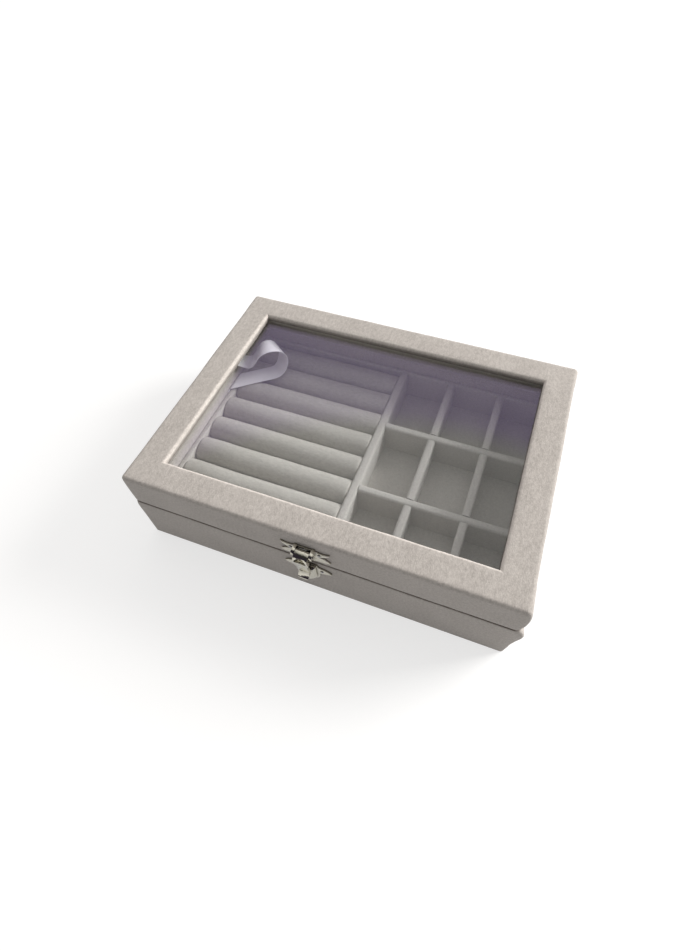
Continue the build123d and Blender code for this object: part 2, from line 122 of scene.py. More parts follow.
# %% [markdown]
# ## Skins between loops
# Upholstery is a skin: loops of points, each as long as the last, joined by quads. A
# subdivision surface over a coarse cage would also do, but it rounds every edge alike,
# and cloth on board is tight on some edges and loose on others. Loops give each edge its
# own radius. The helper below joins them, closes the ends and shades soft turns smoothly.

# %% Skin helper
scene_objects = bpy.context.scene.collection.objects


def spread(start, end, parts):
    """Evenly spaced values from start to end, both included."""
    return [start + (end - start) * step / parts for step in range(parts + 1)]


def skin(name, loops, material, ring=False, sharp=38):
    """A closed mesh over loops of equal length; a ring also joins the last to the first."""
    count = len(loops[0])
    points = [point for loop in loops for point in loop]
    faces = []
    for index in range(len(loops) if ring else len(loops) - 1):
        here = index * count
        there = (index + 1) % len(loops) * count
        for k in range(count):
            after = (k + 1) % count
            faces.append((here + k, here + after, there + after, there + k))
    if not ring:
        faces.append(tuple(range(count)))
        faces.append(tuple(range(len(points) - count, len(points))))
    mesh = bpy.data.meshes.new(name)
    mesh.from_pydata(points, [], faces)
    return clean_piece(name, mesh, material, sharp)


def clean_piece(name, mesh, material, sharp):
    """Weld doubled points, turn all faces outwards and put the mesh into the scene."""
    work = bmesh.new()
    work.from_mesh(mesh)
    bmesh.ops.remove_doubles(work, verts=work.verts, dist=0.002 * MM)
    bmesh.ops.dissolve_degenerate(work, edges=work.edges, dist=0.001 * MM)
    bmesh.ops.recalc_face_normals(work, faces=work.faces)
    work.to_mesh(mesh)
    work.free()
    mesh.shade_smooth()
    mesh.set_sharp_from_angle(angle=math.radians(sharp))
    mesh.materials.append(material)
    piece = bpy.data.objects.new(name, mesh)
    scene_objects.link(piece)
    return piece


def dress(piece, body, slot, *stood_for):
    """Let a piece ride on a body and stand for solids; the slot is not used."""
    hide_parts(*stood_for)
    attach(piece, body)
    return piece


print("skin helper ready")

# %% [markdown]
# ## Unevenness of hand-laid cloth
# Glue, board and foam are never quite flat. A displacement modifier with a texture could
# bend the skins, but a few lines that push each point along its normal by smooth noise
# give the same result in the mesh itself, with no texture to keep.

# %% Unevenness


def soften(piece, depth, size, seed):
    """Push every point along its normal by smooth noise of that depth and size."""
    shift = Vector((seed * 7.3, seed * 3.1, seed * 5.7))
    mesh = piece.data
    normals = [vertex.normal.copy() for vertex in mesh.vertices]
    for vertex, normal in zip(mesh.vertices, normals):
        vertex.co += normal * depth * noise.noise(vertex.co / size + shift)
    mesh.update()
    return piece


print("noise at the origin:", round(noise.noise(Vector((0.3, 0.2, 0.1))), 3))

# %% [markdown]
# ## Velvet
# Velvet is a short upright pile. Three things make it read as velvet: it brightens at
# grazing angles, its pile lies in patches that are a little lighter or darker, and close
# up it is a fine grain. The sheen lobe gives the first, sizes of noise mixed into the
# colour give the second, and a fine noise as bump gives the third. An image of velvet
# would tile and blur; noise in the object's own space never does. Two marks painted on
# the mesh darken the colour as painted shade and lighten it as a painted highlight with
# some rubbed pile.

# %% Velvet


def node_tree(name):
    """A new material, its node tree and its surface shader."""
    material = bpy.data.materials.new(name)
    material.use_nodes = True
    tree = material.node_tree
    return material, tree, tree.nodes["Principled BSDF"]


def noise_node(tree, place, scale, detail=2.0, roughness=0.5):
    """A noise texture with that many swells to the metre."""
    texture = tree.nodes.new("ShaderNodeTexNoise")
    texture.inputs["Scale"].default_value = scale
    texture.inputs["Detail"].default_value = detail
    texture.inputs["Roughness"].default_value = roughness
    tree.links.new(place, texture.inputs["Vector"])
    return texture.outputs["Fac"]


def mix_colours(tree, factor, dark, light, low=0.0, high=1.0):
    """A colour that runs from dark to light as the factor runs from low to high."""
    ramp = tree.nodes.new("ShaderNodeValToRGB")
    ramp.color_ramp.elements[0].position = low
    ramp.color_ramp.elements[0].color = (*dark, 1)
    ramp.color_ramp.elements[1].position = high
    ramp.color_ramp.elements[1].color = (*light, 1)
    tree.links.new(factor, ramp.inputs["Fac"])
    return ramp.outputs["Color"]


def weighted_sum(tree, parts):
    """Add factors, each with its weight."""
    total = None
    for factor, weight in parts:
        step = tree.nodes.new("ShaderNodeMath")
        step.operation = "MULTIPLY_ADD"
        step.inputs[1].default_value = weight
        tree.links.new(factor, step.inputs[0])
        if total is None:
            step.inputs[2].default_value = 0.0
        else:
            tree.links.new(total, step.inputs[2])
        total = step.outputs[0]
    return total


def bump(tree, shader, height, distance, strength=1.0):
    """Fine relief from a height, in metres."""
    relief = tree.nodes.new("ShaderNodeBump")
    relief.inputs["Strength"].default_value = strength
    relief.inputs["Distance"].default_value = distance
    tree.links.new(height, relief.inputs["Height"])
    tree.links.new(relief.outputs["Normal"], shader.inputs["Normal"])
    return relief


def object_place(tree, stretch=(1, 1, 1)):
    """Places in the object's own space, stretched along its axes."""
    coordinates = tree.nodes.new("ShaderNodeTexCoord")
    mapping = tree.nodes.new("ShaderNodeMapping")
    mapping.inputs["Scale"].default_value = stretch
    tree.links.new(coordinates.outputs["Object"], mapping.inputs["Vector"])
    return mapping.outputs["Vector"]


def two_colours(tree, factor, first, second, way="MIX"):
    """Mix two colours; without a factor the second acts in full."""
    mix = tree.nodes.new("ShaderNodeMix")
    mix.data_type = "RGBA"
    mix.blend_type = way
    mix.inputs["Factor"].default_value = 1.0
    if factor is not None:
        tree.links.new(factor, mix.inputs["Factor"])
    for colour, socket in ((first, mix.inputs["A"]), (second, mix.inputs["B"])):
        if isinstance(colour, tuple):
            socket.default_value = (*colour, 1)
        else:
            tree.links.new(colour, socket)
    return mix.outputs["Result"]


def marked(tree, colour, attribute, factor):
    """Multiply a colour by a factor where a point attribute of the mesh is 1."""
    mark = tree.nodes.new("ShaderNodeAttribute")
    mark.attribute_name = attribute
    return two_colours(tree, mark.outputs["Fac"], colour, factor, "MULTIPLY")


def velvet(name, dark, light, stretch=(1, 1, 1), sheen=0.25):
    """Short-pile velvet between two tones; a stretch below 1 draws its grain out that way."""
    material, tree, shader = node_tree(name)
    place = object_place(tree, stretch)
    patches = noise_node(tree, place, 60, detail=1)
    strokes = noise_node(tree, place, 800, detail=2)
    grain = noise_node(tree, place, 2100, detail=1)
    pile = noise_node(tree, place, 5200, detail=1)
    tone = weighted_sum(tree, [(patches, 0.15), (strokes, 0.45), (grain, 0.40)])
    colour = mix_colours(tree, tone, dark, light, low=0.30, high=0.70)
    # Painted shade where the first mark is set.
    colour = marked(tree, colour, "painted_shade", (0.30, 0.27, 0.25))
    # Painted highlight, with some rubbed pile, where the second mark is set.
    colour = marked(tree, colour, "highlight_and_wear", (1.35, 1.35, 1.35))
    tree.links.new(colour, shader.inputs["Base Color"])
    shader.inputs["Roughness"].default_value = 0.92
    shader.inputs["Specular IOR Level"].default_value = 0.15
    shader.inputs["Sheen Weight"].default_value = sheen
    shader.inputs["Sheen Roughness"].default_value = 0.45
    shader.inputs["Sheen Tint"].default_value = (0.98, 0.96, 0.93, 1)
    height = weighted_sum(tree, [(strokes, 0.35), (grain, 0.45), (pile, 0.45)])
    bump(tree, shader, height, 0.22 * MM, 0.8)
    return material


outer_velvet = velvet(
    "outer_velvet", (0.37, 0.340, 0.316), (0.585, 0.546, 0.512), stretch=(1, 0.5, 1)
)
tray_velvet = velvet("tray_velvet", (0.43, 0.408, 0.375), (0.60, 0.570, 0.525))
divider_velvet = velvet("divider_velvet", (0.45, 0.428, 0.400), (0.60, 0.572, 0.535))
roll_velvet = velvet(
    "roll_velvet", (0.40, 0.380, 0.348), (0.56, 0.532, 0.488), stretch=(0.5, 1, 1)
)
print("velvets:", [m.name for m in bpy.data.materials if "velvet" in m.name])

# %% [markdown]
# ## Cloth over the walls
# The outside, the rim and the inside of each half are one strip of velvet, wrapped round
# board. Its section is drawn once as pairs of (how far in from the outer face, height),
# and every pair becomes a loop round the box. All loops have the same number of points,
# also at the sharp inner corners, so that they can be skinned.

# %% Loops round the box
corner_steps = 6
side_gap = 3.4 * MM
side_counts = (round(2 * half_y / side_gap), round(2 * half_x / side_gap))


def round_loop(inset, z, corner_radius):
    """A level loop at that distance inside the outer face of the box."""
    reach_x = half_x - inset
    reach_y = half_y - inset
    radius = max(corner_radius - inset, 0.15 * MM)
    corners = [(1, -1, -90), (1, 1, 0), (-1, 1, 90), (-1, -1, 180)]
    loop = []
    for index, (side_x, side_y, start) in enumerate(corners):
        centre = Vector((side_x * (reach_x - radius), side_y * (reach_y - radius), z))
        for angle in spread(start, start + 90, corner_steps):
            turn = math.radians(angle)
            loop.append(centre + Vector((math.cos(turn), math.sin(turn), 0)) * radius)
        next_x, next_y, next_start = corners[(index + 1) % 4]
        turn = math.radians(next_start)
        next_centre = Vector((next_x * (reach_x - radius), next_y * (reach_y - radius), z))
        first = loop[-1]
        last = next_centre + Vector((math.cos(turn), math.sin(turn), 0)) * radius
        parts = side_counts[index % 2]
        loop += [first.lerp(last, step / parts) for step in range(1, parts)]
    return loop


def quarter(centre_inset, centre_z, radius, start, end, steps=5):
    """A round edge in a section; 0 degrees faces inwards and 90 degrees up."""
    turns = [math.radians(angle) for angle in spread(start, end, steps)]
    return [(centre_inset + radius * math.cos(t), centre_z + radius * math.sin(t)) for t in turns]


def straight(start, end, gap):
    """Even steps between two pairs of a section, without the end."""
    length = math.dist(start, end)
    parts = max(1, round(length / gap))
    return [
        tuple(first + (last - first) * step / parts for first, last in zip(start, end))
        for step in range(parts)
    ]


print("points in one loop:", len(round_loop(0, 0, 2 * MM)))

# %% [markdown]
# ## Corner folds
# At each corner the velvet is cut, turned round onto the short side and glued over itself.
# That makes a second layer beside the corner, which swells a little between the rims. It
# could be a separate flap, but pushing the points of the skin there keeps it one cloth.

# %% Corner folds
fold_width = 16 * MM
fold_edge = 2.5 * MM
fold_rise = 0.5 * MM


def ease(value):
    """Smooth step from 0 to 1."""
    t = min(max(value, 0.0), 1.0)
    return t * t * (3 - 2 * t)


def fold_cloth(loop, low, high, corner_radius, swell, peak):
    """Push a loop out where the cloth is doubled, on the short sides near the corners.

    The swelling is largest at the front right corner, at the share peak of the height.
    """
    for point in loop:
        on_side = ease((abs(point.x) - (half_x - corner_radius)) / corner_radius)
        near = ease((abs(point.y) - (half_y - fold_width)) / fold_edge)
        height = (point.z - low) / (high - low)
        if on_side <= 0 or near <= 0 or not 0 < height < 1:
            continue
        front_right = point.x > 0 and point.y < 0
        bow = math.sin(math.pi * height ** (math.log(0.5) / math.log(peak)))
        reach = swell if front_right else 0.3 * swell
        rise = fold_rise * min(1.0, 6 * height, 6 * (1 - height))
        rise += reach * bow * ease((abs(point.y) - half_y + fold_width) / fold_width)
        point.x += math.copysign(rise * on_side * near, point.x)


print("the cloth is doubled over", round(fold_width / MM, 1), "mm beside each corner")

# %% [markdown]
# ## Velvet of the lower half
# From the foot the strip runs up outside, over the rim with a small roll of cloth, and
# down inside to the tray. The section is closed round the board, so the cloth has its
# real thickness wherever it is cut.

# %% Lower cover
corner_radius = 2.0 * MM
rim_radius = 1.2 * MM
base_swell = 3.2 * MM
base_peak = 0.78                     # the lower half swells most near its rim
# The painted shade along the closing gap fades in over this height.
seam_shade_height = 0.9 * MM
base_rim = base_high.z
board_top = base_rim - cloth
floor_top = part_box("base_bottom_board")[1].z

base_section = [(0, base_low.z)]
base_section += straight((0, base_low.z + 0.4 * MM), (0, base_rim - rim_radius), 2.4 * MM)
base_section += quarter(rim_radius, base_rim - rim_radius, rim_radius, 180, 90)
base_section += straight((2.2 * MM, base_rim), (wall_thickness - 0.8 * MM, base_rim), 1.0 * MM)
base_section += quarter(wall_thickness - 0.5 * MM, base_rim - 0.5 * MM, 0.5 * MM, 90, 0, 3)
base_section += straight((wall_thickness, base_rim - 1.5 * MM), (wall_thickness, floor_top), 3 * MM)
base_section += [
    (wall_thickness, floor_top),
    (wall_thickness - cloth, floor_top),
    (wall_thickness - cloth, board_top),
    (cloth, board_top),
    (cloth, base_low.z),
]
base_loops = [round_loop(inset, z, corner_radius) for inset, z in base_section]
for loop in base_loops:
    fold_cloth(loop, base_low.z, base_rim, corner_radius, base_swell, base_peak)
base_cover = skin("base_cover", base_loops, outer_velvet, ring=True)


def mark_points(piece, attribute, strength):
    """Paint an attribute on a piece; strength tells its value at a place."""
    marks = piece.data.attributes.new(attribute, "FLOAT", "POINT")
    for vertex, mark in zip(piece.data.vertices, marks.data):
        mark.value = strength(vertex.co)


def outside(place):
    """True on the outer skin, false on the inner walls."""
    skin_depth = 2.2 * MM
    return abs(place.x) > half_x - skin_depth or abs(place.y) > half_y - skin_depth


def base_painted_shade(place):
    """Painted shade along the closing gap between lid and lower half."""
    return ease((place.z - base_rim + 1.0 * MM) / seam_shade_height) * outside(place)


# Painted shade along the closing gap.
mark_points(base_cover, "painted_shade", base_painted_shade)
soften(base_cover, 0.16 * MM, 22 * MM, 1)
soften(base_cover, 0.07 * MM, 5 * MM, 2)
dress(base_cover, "base", "outer_velvet", "base_velvet_cover")
print("lower cover:", len(base_cover.data.polygons), "faces")

# %% [markdown]
# ## Velvet of the lid
# The lid's strip starts at its own rim, climbs the low wall, turns over a soft edge onto
# the flat border and dips into the window. Foam under the border would lift its middle,
# but on this box the border is hard and flat, so only the two edges are round.

# %% Lid cover
edge_radius = 1.9 * MM
window_edge_radius = 1.7 * MM
lid_swell = 1.2 * MM
lid_peak = 0.5
lid_rim = lid_low.z
lid_top = lid_high.z
glass_top = glass_high.z

lid_section = [(wall_thickness, lid_rim)]
lid_section += straight(
    (wall_thickness - 0.8 * MM, lid_rim), (rim_radius + 0.6 * MM, lid_rim), 1.0 * MM
)
lid_section += quarter(rim_radius, lid_rim + rim_radius, rim_radius, 270, 180)
lid_section += straight((0, lid_rim + rim_radius + 1 * MM), (0, lid_top - edge_radius), 2.2 * MM)
lid_section += quarter(edge_radius, lid_top - edge_radius, edge_radius, 180, 90, 6)
turn_inset = frame_width - window_edge_radius
lid_section += straight((edge_radius + 1.2 * MM, lid_top), (turn_inset - 0.8 * MM, lid_top), 1.9 * MM)
lid_section += quarter(turn_inset, lid_top - window_edge_radius, window_edge_radius, 90, 0, 6)
lid_section += [
    (frame_width, glass_top + 0.7 * MM),
    (frame_width, glass_top),
    (frame_width - cloth, glass_top),
    (frame_width - cloth, lid_top - cloth),
    (cloth, lid_top - cloth),
    (cloth, lid_rim + cloth),
    (wall_thickness - cloth, lid_rim + cloth),
    (wall_thickness - cloth, glass_top),
    (wall_thickness, glass_top),
]
lid_section += straight((wall_thickness, glass_top - 3 * MM), (wall_thickness, lid_rim), 3 * MM)
lid_loops = [round_loop(inset, z, corner_radius) for inset, z in lid_section]
for loop in lid_loops:
    fold_cloth(loop, lid_rim, lid_top, corner_radius, lid_swell, lid_peak)
lid_cover = skin("lid_cover", lid_loops, outer_velvet, ring=True)


def lid_painted_shade(place):
    """Painted shade along the closing gap, on the left inner wall and where the cloth dips to the
    glass.
    """
    if outside(place):
        return ease((lid_rim + 0.9 * MM - place.z) / (0.7 * MM))
    if place.x < 0.3 * MM - room_x and place.z < glass_top:
        return 0.75                      # the left inner wall is a dark band in the photograph
    at_window = abs(place.x) < window_x + 0.4 * MM and abs(place.y) < window_y + 0.4 * MM
    return 0.8 * ease((glass_top + 1.3 * MM - place.z) / (0.9 * MM)) * at_window


def lid_highlight_and_wear(place):
    """Painted highlight, with some rubbed pile, on the edge of the window."""
    beyond_x = abs(place.x) - window_x
    beyond_y = abs(place.y) - window_y
    from_window = max(beyond_x, beyond_y)
    high = place.z > lid_top - 1.5 * MM
    return ease((1.8 * MM - from_window) / (1.2 * MM)) * high * (from_window > -0.3 * MM)


# Painted shade at the closing gap, on the left inner wall and at the dip to the glass.
mark_points(lid_cover, "painted_shade", lid_painted_shade)
# Painted highlight, with some rubbed pile, on the window edge.
mark_points(lid_cover, "highlight_and_wear", lid_highlight_and_wear)
soften(lid_cover, 0.14 * MM, 22 * MM, 3)
soften(lid_cover, 0.07 * MM, 5 * MM, 4)
dress(lid_cover, "lid", "outer_velvet", "lid_velvet_cover")
print("lid cover:", len(lid_cover.data.polygons), "faces")

# %% [markdown]
# ## The card under the glass
# Four mitred strips of card, wrapped in the same velvet, press the glass against the
# border from below. Their inner edges show through the glass, so they get a round nose.
# Each strip is a section whose ends are cut by the mitre: a point further in is shorter.

# %% Lining strips


def mitred_strip(name, side, outer, inner, other_outer, low, high, material):
    """A strip along one side; outer and inner are its reach from the middle of the box."""
    nose = 0.7 * MM
    overrun = other_outer - outer
    section = straight((outer, low), (inner + nose, low), 2.5 * MM)
    section += [(inner + nose - nose * math.sin(t), low + nose - nose * math.cos(t))
                for t in (math.radians(a) for a in spread(0, 90, 4))]
    section += [(inner + nose - nose * math.cos(t), high - nose + nose * math.sin(t))
                for t in (math.radians(a) for a in spread(0, 90, 4))]
    section += straight((inner + nose + 0.4 * MM, high), (outer, high), 2.5 * MM)
    section += [(outer, high)]
    turn = {"front": 0, "right": 90, "back": 180, "left": 270}[side]
    matrix = Matrix.Rotation(math.radians(turn), 4, "Z")
    loops = []
    for share in spread(-1, 1, 40):
        loop = [Vector((share * (reach + overrun), -reach, z)) for reach, z in section]
        loops.append([matrix @ point for point in loop])
    return skin(name, loops, material)


lining_reach = {}
for side, axis in (("front", "y"), ("back", "y"), ("left", "x"), ("right", "x")):
    low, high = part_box("lid_lining_" + side)
    reaches = sorted((abs(getattr(low, axis)), abs(getattr(high, axis))))
    lining_reach[side] = (reaches[1], reaches[0], room_x if axis == "y" else room_y)
for number, (side, (outer, inner, other)) in enumerate(lining_reach.items()):
    strip = mitred_strip(
        "window_lining_" + side, side, outer, inner, other, lining_low.z, lining_high.z, tray_velvet
    )
    soften(strip, 0.08 * MM, 9 * MM, 10 + number)
    dress(strip, "lid", "tray_velvet", "lid_lining_" + side)
print("window lining in", len(lining_reach), "mitred strips")

# %% [markdown]
# ## Cards on edge and dividers
# The tray is made of cards that stand on edge, each wrapped in velvet. One helper draws
# such a card as a section with a rounded top, repeated along its length. A half-lap is a
# stretch of that card where the section is cut off at mid height, from above or below;
# squeezing the section's points to the cut gives the notch without a boolean.

# %% Card on edge


def top_section(half_width, low, high, radius):
    """Section of a card on edge, as (sideways, height), with a round top."""
    left = [(-half_width, z) for z in spread(low, high - radius, 6)]
    turns = [math.radians(a) for a in spread(180, 90, 5)]
    centre = -half_width + radius
    arc = [(centre + radius * math.cos(t), high - radius + radius * math.sin(t)) for t in turns]
    half = left + arc[1:]
    mirrored = [(-sideways, z) for sideways, z in reversed(half)]
    if half[-1][0] > -0.05 * MM:
        mirrored = mirrored[1:]
    return half + mirrored


def card_stations(start, end, laps, gap=3.0 * MM):
    """Places along a card as (distance, inside a lap or not); laps are (from, to) pairs."""
    stations = []
    here = start
    for lap_start, lap_end in laps:
        parts = max(2, round((lap_start - here) / gap))
        stations += [(value, False) for value in spread(here, lap_start, parts)]
        stations += [(value, True) for value in spread(lap_start, lap_end, 2)]
        here = lap_end
    parts = max(2, round((end - here) / gap))
    stations += [(value, False) for value in spread(here, end, parts)]
    return stations


def card_on_edge(node, along, radius, material, laps=(), lap_from_above=True):
    """A wrapped card that stands for a node, along x or y, with half-laps."""
    low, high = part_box(node)
    middle = (low + high) / 2
    across = "y" if along == "x" else "x"
    half_width = (getattr(high, across) - getattr(low, across)) / 2
    section = top_section(half_width, low.z, high.z, radius)
    loops = []
    for place, lapped in card_stations(getattr(low, along), getattr(high, along), laps):
        loop = []
        for sideways, z in section:
            if lapped:
                z = min(z, middle.z) if lap_from_above else max(z, middle.z)
            if along == "x":
                loop.append(Vector((place, middle.y + sideways, z)))
            else:
                loop.append(Vector((middle.x + sideways, place, z)))
        loops.append(loop)
    return skin(node.replace("_divider", "_bar").replace("_wall", "_card"), loops, material)


print("card helper ready")

# %% Tray walls
tray_walls = {
    "tray_left_wall": "y", "tray_right_wall": "y", "tray_front_wall": "x", "tray_back_wall": "x",
}
for number, (node, along) in enumerate(tray_walls.items()):
    card = card_on_edge(node, along, 0.9 * MM, tray_velvet)
    soften(card, 0.12 * MM, 14 * MM, 20 + number)
    dress(card, "base", "tray_velvet", node)
print("tray cards:", sorted(tray_walls))

# %% Dividers
divider_names = ["long_divider_1", "long_divider_2", "cross_divider_1", "cross_divider_2"]
boxes = {node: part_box(node) for node in divider_names}
cross_laps = [(boxes[n][0].x, boxes[n][1].x) for n in divider_names[:2]]
long_laps = [(boxes[n][0].y, boxes[n][1].y) for n in divider_names[2:]]
divider_radius = 1.5 * MM
for number, node in enumerate(divider_names):
    is_long = node.startswith("long")
    bar = card_on_edge(
        node, "y" if is_long else "x", divider_radius, divider_velvet,
        laps=long_laps if is_long else cross_laps, lap_from_above=is_long,
    )
    soften(bar, 0.10 * MM, 12 * MM, 30 + number)
    dress(bar, "base", "divider_velvet", node)
ring_bar = card_on_edge("ring_bay_divider", "y", divider_radius, divider_velvet)
soften(ring_bar, 0.12 * MM, 14 * MM, 36)
dress(ring_bar, "base", "divider_velvet", "ring_bay_divider")
print("dividers cross at", [round((a + b) / 2 / MM, 1) for a, b in cross_laps], "mm")

# %% [markdown]
# ## Ring rolls
# A roll is a strip of foam with velvet pulled round it. Foam wants to be round, the cloth
# draws its two ends in, and its neighbours press its flanks flat. A cloth simulation
# could inflate it, but eight rolls that touch would have to be pressed apart again, so
# the round crest, flat flanks and drawn ends are drawn as sections along the roll.

# %% Ring rolls
roll_count = 8
end_rounding = 1.8 * MM
end_draw = 0.9 * MM


def roll_section(centre_y, low, crest, radius, draw):
    """Section of a roll, as (y, z): flat foot, straight flanks and a round crest."""
    reach = radius - draw
    top = crest - draw
    shoulder = top - reach
    left = [(centre_y - reach, z) for z in spread(low, shoulder, 4)]
    turns = [math.radians(a) for a in spread(180, 0, 20)]
    arc = [(centre_y + reach * math.cos(t), shoulder + reach * math.sin(t)) for t in turns]
    right = [(centre_y + reach, z) for z in spread(shoulder, low, 4)]
    return left + arc[1:-1] + right


def ring_roll(number):
    """One padded roll, a little different from its neighbours."""
    node = f"ring_roll_{number}"
    low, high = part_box(node)
    centre_y = (low.y + high.y) / 2
    radius = (high.y - low.y) / 2
    loops = []
    for share in spread(0, 1, 12):
        turn = share * math.pi / 2
        run = end_rounding * (1 - math.cos(turn))
        draw = end_draw * (1 - math.sin(turn))
        loops.append((low.x + run, draw))
    inner = spread(low.x + end_rounding, high.x - end_rounding, 26)[1:-1]
    middle = [(x, 0.0) for x in inner]
    ending = [(high.x - (x - low.x), draw) for x, draw in reversed(loops)]
    stations = loops + middle + ending
    sections = []
    for x, draw in stations:
        waver = 0.25 * MM * noise.noise(Vector((x / (30 * MM), number * 3.7, 0)))
        section = roll_section(centre_y, low.z, high.z + waver, radius, draw)
        sections.append([Vector((x, y, z)) for y, z in section])
    return skin(f"padded_roll_{number}", sections, roll_velvet, sharp=60)


for number in range(1, roll_count + 1):
    roll = ring_roll(number)
    soften(roll, 0.22 * MM, 16 * MM, 40 + number)
    dress(roll, "base", "roll_velvet", f"ring_roll_{number}")
print(roll_count, "rolls,", round((2 * roll.dimensions.y) / MM, 1), "mm for two")

# %% [markdown]
# ## Glass
# The pane is clear float glass. A glass shader alone would keep lamps out of the box,
# because light that bends can't be aimed at; for shadow and diffuse rays the pane is
# therefore plain see-through, and only the eye's rays and mirrored ones meet real glass.

# %% Glass


def any_ray(tree, *names):
    """A factor that is 1 for rays of the named kinds."""
    rays = tree.nodes.new("ShaderNodeLightPath")
    total = rays.outputs[names[0]]
    for name in names[1:]:
        step = tree.nodes.new("ShaderNodeMath")
        step.operation = "MAXIMUM"
        tree.links.new(total, step.inputs[0])
        tree.links.new(rays.outputs[name], step.inputs[1])
        total = step.outputs[0]
    return total


glass, tree, shader = node_tree("window_glass")
shader.inputs["Base Color"].default_value = (0.96, 0.97, 0.98, 1)
shader.inputs["Roughness"].default_value = 0.0
shader.inputs["IOR"].default_value = 1.48
shader.inputs["Transmission Weight"].default_value = 1.0
clear = tree.nodes.new("ShaderNodeBsdfTransparent")
clear.inputs["Color"].default_value = (0.90, 0.91, 0.92, 1)
choose = tree.nodes.new("ShaderNodeMixShader")
light_rays = any_ray(tree, "Is Shadow Ray", "Is Diffuse Ray")
tree.links.new(light_rays, choose.inputs["Fac"])
tree.links.new(shader.outputs["BSDF"], choose.inputs[1])
tree.links.new(clear.outputs["BSDF"], choose.inputs[2])
tree.links.new(choose.outputs["Shader"], tree.nodes["Material Output"].inputs["Surface"])


def finish_node(node, material):
    """Give a loaded solid its material; its shape stays as it is."""
    solid = nodes[node]
    solid.data.materials.clear()
    solid.data.materials.append(material)


finish_node("glass_pane", glass)
print("glass", round((glass_high.z - glass_low.z) / MM, 2), "mm thick")

# %% [markdown]
# ## Metal
# The latch is a small zinc casting with bright nickel plating, the hinges are plated
# sheet. Both are mirrors with a faint haze: roughness from noise keeps the reflections
# alive, a low bump gives the soft waviness of a cast and polished surface, and the colour
# turns darker in the hollows, as an occlusion node finds them.

# %% Metal
hollow_reach = 1.6 * MM
hollow_colour = (0.10, 0.09, 0.08)


def plated(name, colour, low_rough, high_rough, wave, wave_depth):
    """Plated metal with uneven polish and a slightly wavy surface."""
    material, tree, shader = node_tree(name)
    place = object_place(tree)
    haze = noise_node(tree, place, 900, detail=4)
    waves = noise_node(tree, place, wave, detail=2)
    rough = tree.nodes.new("ShaderNodeMapRange")
    rough.inputs["To Min"].default_value = low_rough
    rough.inputs["To Max"].default_value = high_rough
    tree.links.new(haze, rough.inputs["Value"])
    tree.links.new(rough.outputs["Result"], shader.inputs["Roughness"])
    dark = tuple(0.86 * c for c in colour)
    # The colour turns darker in the hollows that an occlusion node finds.
    hollow = tree.nodes.new("ShaderNodeAmbientOcclusion")
    hollow.samples = 8
    hollow.inputs["Distance"].default_value = hollow_reach
    darker_in_hollows = mix_colours(tree, hollow.outputs["AO"], hollow_colour, (1, 1, 1), 0.35, 0.95)
    plating = mix_colours(tree, haze, dark, colour, 0.3, 0.6)
    tree.links.new(two_colours(tree, None, plating, darker_in_hollows, "MULTIPLY"), shader.inputs["Base Color"])
    shader.inputs["Metallic"].default_value = 1.0
    bump(tree, shader, waves, wave_depth, 0.6)
    return material


latch_nickel = plated("latch_nickel", (0.80, 0.77, 0.67), 0.06, 0.22, 420, 0.32 * MM)
hinge_nickel = plated("hinge_nickel", (0.72, 0.71, 0.69), 0.22, 0.42, 260, 0.05 * MM)
steel = plated("steel_pins", (0.66, 0.65, 0.64), 0.18, 0.34, 500, 0.04 * MM)


def ease_edges(node, width, segments=2):
    """Round the edges of a loaded solid with modifiers, which leave its mesh as it is."""
    solid = nodes[node]
    weld = solid.modifiers.new("weld", "WELD")
    weld.merge_threshold = 0.002 * MM
    flat = solid.modifiers.new("flat", "DECIMATE")
    flat.decimate_type = "DISSOLVE"
    flat.angle_limit = math.radians(1.0)
    edge = solid.modifiers.new("edge", "BEVEL")
    edge.width = width
    edge.segments = segments
    edge.limit_method = "ANGLE"
    edge.angle_limit = math.radians(35)
    edge.harden_normals = True
    solid.data.shade_smooth()


for node in nodes:
    if node.startswith("latch") and not node.endswith(("nails", "pin")):
        finish_node(node, latch_nickel)
        ease_edges(node, 0.38 * MM, 3)
    if node.startswith("hinge") and "leaf" in node:
        finish_node(node, hinge_nickel)
        ease_edges(node, 0.12 * MM)
    if node.endswith(("_nails", "_pin")) or "hinge_pin" in node:
        finish_node(node, steel)
        nodes[node].data.shade_smooth()
print("metal nodes:", [n for n in nodes if n.startswith(("latch", "hinge"))])

# %% [markdown]
# ## Board, card and the cloth underneath
# Nothing of the boards shows while the cloth is whole, but a part may be taken apart, so
# they get the look of pressed fibre: a brown ground with darker and lighter specks.

# %% Hidden materials


def pressed_fibre(name, dark, light, specks):
    """Fibreboard or greyboard with fine specks."""
    material, tree, shader = node_tree(name)
    place = object_place(tree)
    speck = noise_node(tree, place, specks, detail=4, roughness=0.7)
    tree.links.new(mix_colours(tree, speck, dark, light, 0.35, 0.65), shader.inputs["Base Color"])
    shader.inputs["Roughness"].default_value = 0.85
    bump(tree, shader, speck, 0.08 * MM, 0.5)
    return material


board = pressed_fibre("case_board", (0.36, 0.26, 0.17), (0.60, 0.47, 0.33), 900)
grey_card = pressed_fibre("grey_card", (0.38, 0.37, 0.35), (0.56, 0.55, 0.52), 1300)
slots = {part["node"]: part["material_slot"] for part in frame["record"]["subparts"]}
by_slot = {"case_board": board, "grey_card": grey_card, "outer_velvet": outer_velvet,
           "tray_velvet": tray_velvet, "divider_velvet": divider_velvet, "roll_velvet": roll_velvet}
for node, slot in slots.items():
    if slot in by_slot:
        finish_node(node, by_slot[slot])
print("finished", sum(slot in by_slot for slot in slots.values()), "quiet nodes")

